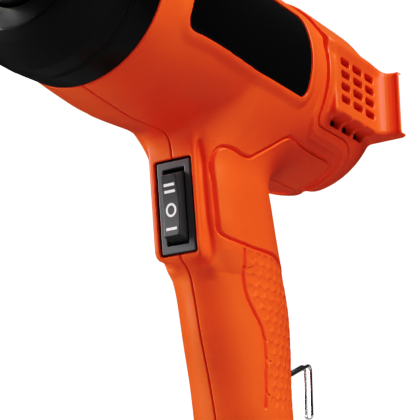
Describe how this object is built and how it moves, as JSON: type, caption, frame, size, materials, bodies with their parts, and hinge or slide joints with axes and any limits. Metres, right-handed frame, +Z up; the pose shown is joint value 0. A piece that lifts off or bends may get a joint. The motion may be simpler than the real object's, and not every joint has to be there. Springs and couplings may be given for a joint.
{
  "type": "heat gun",
  "caption": "Pistol-grip hot air gun with a round orange barrel, steel outlet tube, rocker switch, side vents, flat rear feet and a wire hook.",
  "frame": {"origin": "centre of the bounding box in X and Y, at the handle's base in Z", "axes": "-X along the barrel toward the nozzle, +Y to the gun's right side, +Z up the handle"},
  "size_m": [0.2364, 0.092, 0.1821],
  "materials": {
    "orange_plastic": "satin, fine moulded grain",
    "black_plastic": "satin",
    "label_gloss": "high gloss",
    "screw_steel": "zinc plated",
    "nozzle_steel": "rolled sheet, satin",
    "shield_aluminium": "plain",
    "mica": "matte",
    "heater_wire": "oxidised",
    "ceramic": "matte",
    "bare_metal": "plain",
    "switch_grey": "satin",
    "rocker_grey": "satin, white marks",
    "brass": "plain",
    "ferrite": "matte",
    "pale_plastic": "matte",
    "circuit_board": "laminate",
    "blue_plastic": "gloss",
    "rubber_black": "matte",
    "fibre": "matte",
    "lead_brown": "matte",
    "lead_blue": "matte",
    "lead_white": "glass sleeve",
    "chrome_wire": "polished"
  },
  "bodies": {
    "casing": {"housing_left": "orange_plastic", "housing_right": "orange_plastic", "rear_cap": "orange_plastic", "front_collar": "black_plastic", "label_left": "label_gloss", "label_right": "label_gloss", "housing_screw_1": "screw_steel", "housing_screw_2": "screw_steel", "housing_screw_3": "screw_steel", "housing_screw_4": "screw_steel", "housing_screw_5": "screw_steel", "housing_screw_6": "screw_steel", "housing_screw_7": "screw_steel", "nozzle": "nozzle_steel", "heat_shield": "shield_aluminium", "mica_sleeve": "mica", "element_core": "mica", "heater_coil_front": "heater_wire", "heater_coil_rear": "heater_wire", "element_flange": "ceramic", "thermal_cutout": "bare_metal", "switch_body": "switch_grey", "switch_terminal_1": "brass", "switch_terminal_2": "brass", "switch_terminal_3": "brass", "motor_bracket": "black_plastic", "motor_can": "bare_metal", "motor_magnet_left": "ferrite", "motor_magnet_right": "ferrite", "motor_bearing_front": "brass", "motor_bearing_rear": "brass", "motor_end_cap": "pale_plastic", "motor_screw_1": "screw_steel", "motor_screw_2": "screw_steel", "rectifier_board": "circuit_board", "diode_1": "black_plastic", "diode_2": "black_plastic", "diode_3": "black_plastic", "diode_4": "black_plastic", "capacitor": "blue_plastic", "cable_gland": "rubber_black", "cord_clamp": "fibre", "clamp_screw_1": "screw_steel", "clamp_screw_2": "screw_steel", "lead_live": "lead_brown", "lead_neutral": "lead_blue", "lead_heater": "lead_white"},
    "rocker": {"rocker": "rocker_grey"},
    "rotor": {"fan_impeller": "pale_plastic", "motor_armature": "bare_metal", "motor_shaft": "bare_metal"},
    "hook": {"hook_stand": "chrome_wire"}
  },
  "joints": [
    {"name": "rocker_tilt", "type": "hinge", "parent": "casing", "child": "rocker", "pos_m": [0.02172, 0, 0.07856], "axis": [0, 1, 0], "range_deg": [-10, 10]},
    {"name": "fan_spin", "type": "hinge", "parent": "casing", "child": "rotor", "pos_m": [0.0493, 0, 0.1433], "axis": [1, 0, 0], "continuous": true},
    {"name": "hook_swing", "type": "hinge", "parent": "casing", "child": "hook", "pos_m": [0.074, 0, 0.0168], "axis": [0, 1, 0], "range_deg": [0, 45]}
  ]
}
